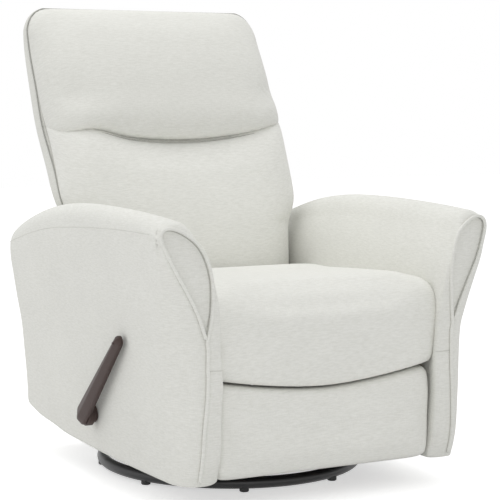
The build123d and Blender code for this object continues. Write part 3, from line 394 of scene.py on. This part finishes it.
def tube(name, line, radius, around=12):
    """Round cord along a line of points: a circle carried along it, square to its direction,
    closed to a point at each end."""
    ahead = np.gradient(line, axis=0)
    side = np.cross(ahead, (0.31, 0.93, 0.17))
    side /= np.linalg.norm(side, axis=1)[:, None]
    rise = np.cross(side, ahead)
    rise /= np.linalg.norm(rise, axis=1)[:, None]
    line, side, rise = (np.concatenate([v[:1], v, v[-1:]]) for v in (line, side, rise))
    turn = np.linspace(0, 2 * np.pi, around, endpoint=False)[None, :, None]
    size = np.full(len(line), float(radius))
    size[0] = size[-1] = 1e-7
    return surface(name, line[:, None] + size[:, None, None] * (
        side[:, None] * np.cos(turn) + rise[:, None] * np.sin(turn)))


def mirrored(grid, side):
    """The grid for the right arm, or its mirror image for the left."""
    return np.asarray(grid) * (side, 1, 1)


piping_linen = cloth("piping_linen", tint=(0.84, 0.84, 0.80))
seam_linen = cloth("seam_linen", tint=(0.71, 0.71, 0.67))
# darker cloth for painted shade: the crease under the head pillow and the groove round the back's side
# strip
crease_shade_linen = cloth("crease_shade_linen", tint=(0.45, 0.45, 0.42))
# darker cloth for painted shade: the groove inside the leaf's piping
leaf_seam_shade_linen = cloth("leaf_seam_shade_linen", tint=(0.60, 0.60, 0.56))
welt_rows = np.concatenate([
    np.stack([leaf_inner, leaf_z], -1),
    leaf_roll[::-1],
    np.stack([leaf_outer, leaf_z], -1)[::-1][leaf_z[::-1] >= leaf_foot]])
welt_steps = np.concatenate([[0], np.cumsum(np.linalg.norm(np.diff(welt_rows, axis=0), axis=1))])
welt_even = np.linspace(0, welt_steps[-1], 190)
welt_x = np.interp(welt_even, welt_steps, welt_rows[:, 0])
welt_z = np.interp(welt_even, welt_steps, welt_rows[:, 1])
for _ in range(3):
    welt_x[1:-1] = (welt_x[:-2] + 2 * welt_x[1:-1] + welt_x[2:]) / 4
    welt_z[1:-1] = (welt_z[:-2] + 2 * welt_z[1:-1] + welt_z[2:]) / 4
welt_line = np.stack([welt_x, arm_front(welt_x, welt_z) - 0.0014, welt_z], -1)

# the sewn seam inside the leaf's piping, down to where the leaf is narrow, drawn as a darker cord:
# painted shade of the groove inside the piping
leaf_step = np.stack([np.gradient(welt_z), -np.gradient(welt_x)])
leaf_step *= 0.0042 / np.hypot(*leaf_step)      # 4.2 mm inwards from the piping's middle
leaf_seam_x, leaf_seam_z = (np.stack([welt_x, welt_z]) + leaf_step)[:, welt_z > 0.378]
leaf_seam_line = np.stack([leaf_seam_x, arm_front(leaf_seam_x, leaf_seam_z) + 0.0032, leaf_seam_z],
                          -1)

# the sewn seam along the outer side, under the roll
stitch_y = np.linspace(-0.395, 0.334, 120)
stitch_z = through([(-0.395, 0.556), (-0.303, 0.555), (-0.139, 0.549), (-0.018, 0.541),
                    (0.122, 0.527), (0.236, 0.505), (0.334, 0.480)], stitch_y)
half_ring = slice(soles - 1, soles - 1 + sides + rolls // 2)
stitch_x = np.array([np.interp(z, arm_height(y)[half_ring], arm_across(y)[half_ring])
                     for y, z in zip(stitch_y, stitch_z)])
stitch_line = np.stack([stitch_x - 0.0004, stitch_y, stitch_z], -1)

# the short level seam across the front, from the inner corner to the piping: part of one column
# of the arm's grid, on its inner side
arm_rows = arm_grid()
level_height, corner_row, piping_row = 0.2915, 186, -9
level_place = soles - 1 + sides + rolls + sides - 1 - np.argmin(np.abs(leaf_z - level_height))
level_line = arm_rows[corner_row:piping_row, level_place] - (0, 0.0003, 0)

for side, word in ((1, "right"), (-1, "left")):
    arm = surface("arm_upholstery_" + word, mirrored(arm_rows, side))
    arm.data.materials.append(arm_linen)
    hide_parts("arm_pad_" + word, "arm_outside_" + word, "arm_inside_" + word)
    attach(arm, "chassis")
    welt = tube("arm_welt_" + word, mirrored(welt_line, side), 0.0036)
    welt.data.materials.append(piping_linen)
    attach(welt, "chassis")
    for kind, line, linen in (("arm_seam_", stitch_line, seam_linen),
                              ("arm_level_seam_", level_line, seam_linen),
                              ("arm_leaf_seam_shade_", leaf_seam_line, leaf_seam_shade_linen)):
        stitch = tube(kind + word, mirrored(line, side), 0.0009, 8)
        stitch.data.materials.append(linen)
        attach(stitch, "chassis")

# ------------------------------------------------------------------ seat cushion
# One thick foam pad in a sewn cover, lying on the zigzag springs. Its front is rounded over
# and hangs down in front of the rail, to a lower edge cut in a shallow arc.


def evenly(points, count=70):
    """Smooth line through points, resampled at even steps along its length."""
    points = np.asarray(points, float)
    steps = np.linalg.norm(np.diff(points, axis=0), axis=1)
    where = np.concatenate([[0], np.cumsum(steps)])
    fine = through(np.column_stack([where, points]), np.linspace(0, where[-1], 900))
    steps = np.linalg.norm(np.diff(fine, axis=0), axis=1)
    along = np.concatenate([[0], np.cumsum(steps)])
    even = np.linspace(0, along[-1], count)
    return np.stack([np.interp(even, along, column) for column in fine.T], -1)


def stuffed(name, front, back, seam, half, power, root, bend, bulge=0.0, count=81):
    """Closed pad between a front and a back line in the (y, z) plane, listed point for point
    with the seam line on its sides. Across the width, a runs from -1 to 1 and both lines draw
    in on the seam by the share (1 - |a|^power)^(1/root). half is the half width at each point,
    bulge pushes the sides out between the seam and the front line, and bend moves the result."""
    a = np.sin(np.linspace(-np.pi / 2, np.pi / 2, count))[:, None]
    ring = np.concatenate([front, back[::-1][1:-1]])
    core = np.concatenate([seam, seam[::-1][1:-1]])
    wide = np.concatenate([half, half[::-1][1:-1]])
    power = power + 0 * half
    power = np.concatenate([power, power[::-1][1:-1]])
    share = np.clip(1 - np.abs(a) ** power, 0, 1) ** (1 / root)
    yz = core[None] + (ring - core)[None] * share[..., None]
    push = np.concatenate([bulge + 0 * half, 0 * half[1:-1]])
    x = a * wide + np.sign(a) * push * 4 * share * (1 - share)
    return surface(name, bend(np.concatenate([x[..., None], yz], -1)))


def swell(piece, cap, hold, voxel=0.005, pressure=4.0):
    """Cloth simulation that fills the pad: the form is blown up as a closed bag of cloth, no
    point moves further than cap, and six tenths of cap are taken off along the normal, so that
    broad faces crown and the cloth draws in where it is tight. hold is a function of the points
    that gives the share of this that each keeps: none at seams and where the pad is fixed."""
    work = piece.modifiers.new("even", "REMESH")
    work.mode, work.voxel_size = "VOXEL", voxel
    even = bpy.data.meshes.new_from_object(
        piece.evaluated_get(bpy.context.evaluated_depsgraph_get()))
    piece.modifiers.remove(work)
    piece.data = even
    count = len(even.vertices)
    start, normal = np.empty((2, count * 3), np.float32)
    even.vertices.foreach_get("co", start)
    even.vertex_normals.foreach_get("vector", normal)
    start, normal = start.reshape(-1, 3), normal.reshape(-1, 3)
    bag = piece.modifiers.new("bag", "CLOTH")
    bag.settings.use_pressure = True
    bag.settings.uniform_pressure_force = pressure
    bag.settings.effector_weights.gravity = 0
    bag.settings.quality = 4
    for step in range(1, 21):
        bpy.context.scene.frame_set(step)
    moved = np.empty(count * 3, np.float32)
    piece.evaluated_get(bpy.context.evaluated_depsgraph_get()).data.vertices.foreach_get(
        "co", moved)
    piece.modifiers.remove(bag)
    bpy.context.scene.frame_set(1)
    moved = moved.reshape(-1, 3) - start
    far = np.linalg.norm(moved, axis=1)[:, None]
    moved = moved * cap * np.tanh(far / cap) / np.maximum(far, 1e-9)
    share = hold(*start.T)[:, None]
    even.vertices.foreach_set("co", (start + share * (moved - 0.6 * cap * normal)).ravel())
    even.update()
    even.shade_smooth()
    smooth = piece.modifiers.new("smooth", "SUBSURF")
    smooth.levels = smooth.render_levels = 1


def seat_arc(x):
    """Height of the seat front's lower edge: a shallow arc, lowest in the middle."""
    return 0.2365 + 0.029 * (np.abs(x) / 0.248) ** 1.7


def seat_bend(grid):
    """Lower part of the seat front stretched down to its arc."""
    x, y, z = np.moveaxis(grid, -1, 0)
    lower = np.clip(0.40 - z, 0, 1) * ramp(-y, 0.37, 0.40)
    return np.stack([x, y, z + lower * (1 - (0.40 - seat_arc(x)) / 0.160)], -1)


seat_front = evenly([(0.088, 0.346), (0.091, 0.385), (0.082, 0.412), (0.055, 0.424),
                     (-0.05, 0.430), (-0.18, 0.438), (-0.30, 0.445), (-0.380, 0.4460),
                     (-0.417, 0.436), (-0.437, 0.412), (-0.445, 0.375), (-0.447, 0.330),
                     (-0.446, 0.280), (-0.441, 0.252), (-0.430, 0.241), (-0.416, 0.240)])
seat_under = evenly([(0.088, 0.346), (0.06, 0.341), (-0.10, 0.340), (-0.34, 0.340),
                     (-0.378, 0.337), (-0.389, 0.322), (-0.391, 0.300), (-0.398, 0.262),
                     (-0.416, 0.240)])
seat_share = 0.74 - 0.10 * ramp(-seat_front[:, 0], 0.36, 0.44)[:, None]
seat_middle = seat_share * seat_front + (1 - seat_share) * seat_under
seat_half = through([(0.24, 0.2580), (0.30, 0.2680), (0.36, 0.2745), (0.40, 0.2765), (0.46, 0.2765)],
                    seat_middle[:, 1])
seat = stuffed("seat_cushion_cover", seat_front, seat_under, seat_middle, seat_half, 18, 2.9,
               seat_bend)
swell(seat, 0.012, lambda x, y, z: ramp(0.277 - np.abs(x), 0, 0.05)
      * ramp(z - seat_arc(x), 0.005, 0.05) * np.where(y > -0.40, ramp(z, 0.36, 0.40), 1))
seat_linen = cloth("seat_linen", turn=np.radians(45), tint=(0.86, 0.86, 0.82))
seat.data.materials.append(seat_linen)
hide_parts("seat_cushion")
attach(seat, "chassis")

# ------------------------------------------------------------------ footrest
# A padded board that closes the front under the seat and swings up on the linkage. Its top
# edge follows the arc of the seat front, and its lower corners are round.


def footrest_bend(grid):
    """Top edge raised to the seat's arc, less the gap between them."""
    x, y, z = np.moveaxis(grid, -1, 0)
    return np.stack([x, y, z + (seat_arc(x) - 0.2365) * np.clip((z - 0.12) / 0.113, 0, 1)], -1)


rest_front = evenly([(-0.380, 0.232), (-0.414, 0.232), (-0.434, 0.226), (-0.442, 0.210),
                     (-0.444, 0.150), (-0.442, 0.090), (-0.434, 0.070), (-0.414, 0.0635),
                     (-0.380, 0.063)])
rest_back = evenly([(-0.380, 0.232), (-0.379, 0.147), (-0.380, 0.063)])
rest_seam = 0.7 * rest_front + 0.3 * rest_back
rest_drop = np.clip((0.090 - rest_seam[:, 1]) / 0.027, 0, 1)
rest_half = np.interp(rest_seam[:, 1], [0.063, 0.232], [0.2512, 0.2518])
rest_half = rest_half - 0.022 * (1 - np.sqrt(1 - rest_drop ** 2))
rest_half = rest_half - 0.006 * np.clip((rest_seam[:, 1] - 0.215) / 0.017, 0, 1) ** 2
rest = stuffed("footrest_cover", rest_front, rest_back, rest_seam, rest_half, 20, 2.8,
               footrest_bend)
swell(rest, 0.010, lambda x, y, z: ramp(0.255 - np.abs(x), 0, 0.045) * ramp(-y, 0.40, 0.43)
      * ramp(z, 0.068, 0.11) * ramp(seat_arc(x) - z, 0.006, 0.045))
footrest_linen = cloth("footrest_linen", tint=(0.87, 0.87, 0.83))
rest.data.materials.append(footrest_linen)
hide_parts("footrest_cushion")
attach(rest, "footrest_pad")

# ------------------------------------------------------------------ back
# Two pillows sewn to one frame: the upper one hangs over the lower along a smile-shaped seam.
# A strip of cloth round the sides joins them to the rear panel, with a plain seam between.
seam_y = [(0.262, 0.196), (0.480, 0.200), (0.568, 0.215), (0.638, 0.248), (0.697, 0.288),
          (0.744, 0.318), (0.828, 0.353), (0.912, 0.392), (0.959, 0.408), (1.016, 0.424)]
rear_y = [(0.262, 0.250), (0.480, 0.256), (0.566, 0.270), (0.595, 0.288), (0.666, 0.334),
          (0.738, 0.374), (0.811, 0.406), (0.885, 0.432), (0.923, 0.441), (0.960, 0.443),
          (1.016, 0.428)]
half_x = [(0.262, 0.2680), (0.490, 0.2690), (0.520, 0.2740), (0.548, 0.2890), (0.575, 0.2985),
          (0.640, 0.3010), (0.700, 0.3020), (0.800, 0.3030), (0.900, 0.3025), (0.975, 0.3010)]


def back_half(z):
    """Half width of the back: narrow between the arms, wide above, its top corners round."""
    drop = np.clip((z - 0.955) / 0.060, 0, 1)
    return through(half_x, z) - 0.055 * (1 - np.sqrt(1 - drop ** 2))


def back_arc(x):
    """Rise of the seam between the pillows above its lowest point, in the middle."""
    arc = 0.038 * (np.abs(x) / 0.300) ** 1.9
    return arc + 0.006 * np.exp(-((x + 0.20) / 0.05) ** 2) - 0.014 * ramp(-x, 0.215, 0.29)


def back_side(z):
    """The seam line on the back's sides, at these heights."""
    return np.stack([through(seam_y, z), z], -1)


def lumbar_bend(grid):
    """Top edge raised to the smile seam and sunk a little behind it, most in the middle."""
    x, y, z = np.moveaxis(grid, -1, 0)
    sunk = 0.015 * np.clip(1 - (x / 0.26) ** 2, 0, 1) * ramp(z, 0.64, 0.70)
    return np.stack([x, y + sunk, z + back_arc(x) * ramp(z, 0.60, 0.70)], -1)


def head_bend(grid):
    """Lower edge raised to the smile seam."""
    x, y, z = np.moveaxis(grid, -1, 0)
    return np.stack([x, y, z + back_arc(x) * (1 - ramp(z, 0.72, 0.84))], -1)


back_linen = cloth("back_linen", turn=np.radians(24), tint=(0.79, 0.79, 0.75))
lumbar_linen = cloth("lumbar_linen", turn=np.radians(-12), tint=(0.855, 0.855, 0.815))
lumbar_front = evenly([(0.196, 0.346), (0.140, 0.343), (0.104, 0.358), (0.090, 0.395),
                       (0.090, 0.440), (0.101, 0.500), (0.122, 0.560), (0.150, 0.620),
                       (0.178, 0.668), (0.199, 0.698), (0.216, 0.713), (0.250, 0.720),
                       (0.300, 0.720)])
lumbar_seam = back_side(np.interp(lumbar_front[:, 1], [0.343, 0.720], [0.346, 0.720]))
lumbar = stuffed("lumbar_cushion_cover", lumbar_front, lumbar_seam + (0.004, 0), lumbar_seam,
                 back_half(lumbar_seam[:, 1]), 5, 2.2, lumbar_bend)
head_front = evenly([(0.300, 0.714), (0.250, 0.710), (0.221, 0.7065), (0.205, 0.713),
                     (0.2025, 0.735), (0.229, 0.800), (0.265, 0.869), (0.304, 0.930),
                     (0.342, 0.976), (0.374, 1.003), (0.401, 1.0145), (0.424, 1.0135)])
head_seam = back_side(np.interp(head_front[:, 1], [0.7065, 1.0145], [0.714, 1.0140]))
head = stuffed("head_cushion_cover", head_front, head_seam + (0.004, 0), head_seam,
               back_half(head_seam[:, 1]), 5 - 2.2 * ramp(head_seam[:, 1], 0.86, 1.0), 2.2,
               head_bend)
swell(lumbar, 0.012, lambda x, y, z: ramp(back_half(z) - np.abs(x), 0, 0.05)
      * (1 - 0.7 * ramp(z - back_arc(x), 0.68, 0.71)) * ramp(z, 0.35, 0.40)
      * ramp(through(seam_y, z) - y, 0.01, 0.03))
swell(head, 0.012, lambda x, y, z: ramp(back_half(z) - np.abs(x), 0, 0.05)
      * (1 - ramp(z, 0.96, 1.01)) * (1 - 0.6 * ramp(0.80 - z + back_arc(x), 0, 0.05))
      * ramp(through(seam_y, z) - y, 0.01, 0.03))
for pillow, node, linen in ((lumbar, "lumbar_cushion", lumbar_linen),
                            (head, "head_cushion", back_linen)):
    pillow.data.materials.append(linen)
    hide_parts(node)
    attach(pillow, "back")

shell_seam = back_side(0.262 + 0.7515 * np.sin(np.linspace(0, np.pi / 2, 90)))
shell_rear = np.stack([through(rear_y, shell_seam[:, 1]), shell_seam[:, 1]], -1)
close = np.clip((shell_seam[:, 1] - 0.975) / 0.0385, 0, 1)
shell_rear[:, 0] += 0.012 * np.sin(np.pi * (shell_seam[:, 1] - 0.262) / 0.76)
shell_rear[:, 0] = (shell_seam[:, 0]
                    + (shell_rear[:, 0] - shell_seam[:, 0]) * np.sqrt(1 - close ** 2))
shell_inner = shell_seam - (0.010, 0)
shell_inner[:, 0] = shell_seam[:, 0] - 0.010 * (1 - close)
low_close = np.linspace(0.02, 1, 5) ** 0.5
shell_rear[:5, 0] = shell_seam[:5, 0] + (shell_rear[:5, 0] - shell_seam[:5, 0]) * low_close
shell_inner[:5, 0] = shell_seam[:5, 0] + (shell_inner[:5, 0] - shell_seam[:5, 0]) * low_close
shell = stuffed("outer_back_cover", shell_rear, shell_inner, shell_seam,
                back_half(shell_seam[:, 1]) - 0.0015, 14, 2.4, lambda grid: grid, bulge=0.008)
shell.data.materials.append(back_linen)
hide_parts("outer_back")
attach(shell, "back")

# the sewn seams, drawn as dark cords that are painted shade of their grooves: in the fold under the
# head pillow, and round the front of the side strip
fold_x = np.linspace(-0.272, 0.262, 160)
fold_line = np.stack([fold_x, 0.2168 + 0.050 * (np.abs(fold_x) / 0.3) ** 6,
                      0.7070 + back_arc(fold_x)], -1)
edge_z = np.concatenate([np.linspace(0.50, 0.95, 90), 0.955 + 0.0592 * np.sin(
    np.linspace(0, np.pi / 2, 40))])
edge_side = np.stack([back_half(edge_z) + 0.0010, through(seam_y, edge_z) - 0.0012, edge_z], -1)
edge_top = np.linspace(edge_side[-1], edge_side[-1] * (-1, 1, 1), 60)[1:-1]
edge_line = np.concatenate([edge_side, edge_top, edge_side[::-1] * (-1, 1, 1)])
for name, line, radius in (("smile_seam_shade", fold_line, 0.0014), ("back_seam_shade", edge_line, 0.0015)):
    seam = tube(name, line, radius, 8)
    seam.data.materials.append(crease_shade_linen)
    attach(seam, "back")

# ------------------------------------------------------------------ rear panel
# A flat sheet of the same cloth over a thin pad, stapled between the arms below the back.
panel_low, panel_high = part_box("rear_panel")
panel_half = (panel_high[0] - panel_low[0]) / 2
panel_z = np.linspace(panel_low[2], panel_high[2], 30)
panel_rear = np.stack([0 * panel_z + panel_high[1], panel_z], -1)
panel_front = np.stack([0 * panel_z + panel_low[1], panel_z], -1)
panel_edge = (panel_rear + panel_front) / 2
edge_close = np.minimum(1, np.minimum(panel_z - panel_z[0], panel_z[-1] - panel_z) / 0.008) ** 0.5
panel_rear[:, 0] = panel_edge[:, 0] + (panel_rear[:, 0] - panel_edge[:, 0]) * edge_close
panel_front[:, 0] = panel_edge[:, 0] + (panel_front[:, 0] - panel_edge[:, 0]) * edge_close
panel = stuffed("rear_panel_cover", panel_rear, panel_front, panel_edge, 0 * panel_z + panel_half,
                24, 3.0, lambda grid: grid)
panel.data.materials.append(arm_linen)
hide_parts("rear_panel")
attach(panel, "chassis")

# ------------------------------------------------------------------ frame and fittings
# Bare beech in the frame, satin black powder coat on the steel linkage and ring, bright zinc on
# pins and springs, and moulded plastics.


def solid(name, pale, dark, grain, rough, metal=0.0, bump=0.15, depth=0.0002, coat=0.0):
    """Plain material: two near colours mixed by noise stretched by grain, with roughness and a
    fine bump from the same noise."""
    made = bpy.data.materials.new(name)
    add = nodes_of(made)
    where = add("ShaderNodeTexCoord")
    lie = add("ShaderNodeMapping", {"Vector": where.outputs["Object"], "Scale": grain})
    fleck = add("ShaderNodeTexNoise", {"Vector": lie.outputs[0], "Scale": 1.0, "Detail": 4.0})
    colour = add("ShaderNodeMix", {"Factor": fleck.outputs[0], "A": (*dark, 1), "B": (*pale, 1)},
                 data_type="RGBA")
    dull = add("ShaderNodeMapRange", {"Value": fleck.outputs[0], "From Min": 0.3, "From Max": 0.7,
                                      "To Min": rough[0], "To Max": rough[1]})
    lift = add("ShaderNodeBump", {"Height": fleck.outputs[0], "Strength": bump, "Distance": depth})
    skin = add("ShaderNodeBsdfPrincipled", {
        "Base Color": colour.outputs[2], "Roughness": dull.outputs[0], "Normal": lift.outputs[0],
        "Metallic": metal, "Coat Weight": coat})
    add("ShaderNodeOutputMaterial", {"Surface": skin.outputs[0]})
    return made


lever_brown = solid("lever_brown", (0.046, 0.023, 0.018), (0.032, 0.016, 0.013), (900, 900, 900),
                    (0.45, 0.60))
paints = {
    "upholstery": arm_linen,
    "timber": solid("beech", (0.62, 0.44, 0.27), (0.48, 0.32, 0.18), (60, 9, 60), (0.5, 0.7)),
    "black_steel": solid("black_coat", (0.020, 0.020, 0.021), (0.012, 0.012, 0.013),
                         (700, 700, 700), (0.30, 0.42)),
    "bright_steel": solid("zinc", (0.68, 0.68, 0.66), (0.52, 0.52, 0.51), (160, 160, 160),
                          (0.26, 0.42), metal=1.0),
    "nylon": solid("nylon", (0.74, 0.73, 0.68), (0.66, 0.65, 0.60), (400, 400, 400), (0.42, 0.55)),
    "glide_plastic": solid("glide_plastic", (0.030, 0.030, 0.030), (0.020, 0.020, 0.020),
                           (800, 800, 800), (0.5, 0.65)),
    "lever_plastic": lever_brown,
    "webbing": solid("webbing", (0.30, 0.28, 0.24), (0.17, 0.16, 0.14), (1500, 60, 1500),
                     (0.75, 0.92), bump=0.5),
}
for entry in frame["record"]["subparts"]:
    for slot in frame["nodes"][entry["node"]].material_slots:
        slot.material = paints[entry["material_slot"]]

# ------------------------------------------------------------------ lever
# One moulded plastic paddle on the end of the drive tube: wide and round at its root, narrower
# to the tip, with a blunt ridge down its outer face. A screw holds it to the tube.
lever_along = np.linspace(0, np.pi, 60)
lever_step = 0.120 - 0.143 * np.cos(lever_along)          # -23 mm to 263 mm from the pivot
lever_wide = np.interp(lever_step, [0, 0.251], [0.0225, 0.0120])
for end, radius in ((-0.023, 0.021), (0.263, 0.012)):
    near = np.clip(1 - np.abs(lever_step - end) / radius, 0, 1)
    lever_wide = lever_wide * np.sqrt(np.maximum(1 - near ** 2, 1e-8))
lever_close = np.sqrt(lever_wide / np.interp(lever_step, [0, 0.251], [0.0225, 0.0120]))
across = np.concatenate([np.linspace(-1, 1, 21), np.linspace(1, -1, 9)])
outward = np.concatenate([0.008 + 0.0075 * (1 - np.abs(across[:21]) ** 1.15), np.zeros(9)])
outward[[0, 20]] = 0.006
lever_axis = np.array([-0.7033, 0.7109])                  # in the (y, z) plane
lever_x = -0.3625 - outward[None] * lever_close[:, None]
lever_y = (-0.048 + lever_axis[0] * lever_step[:, None]
           - lever_axis[1] * lever_wide[:, None] * across[None])
lever_z = (0.146 + lever_axis[1] * lever_step[:, None]
           + lever_axis[0] * lever_wide[:, None] * across[None])
lever = surface("lever_paddle", np.stack([lever_x, lever_y, lever_z], -1))
stem = tube("lever_stem", np.linspace((-0.3502, -0.050, 0.144), (-0.3632, -0.050, 0.144), 6),
            0.0235, 40)
dot_yz = np.array([-0.048, 0.146]) + lever_axis * 0.246
dot = tube("lever_plug", np.linspace((-0.370, *dot_yz), (-0.3792, *dot_yz), 5), 0.0032, 20)
for made in (lever, stem, dot):
    made.data.materials.append(lever_brown)
    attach(made, "drive")
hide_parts("lever_handle")
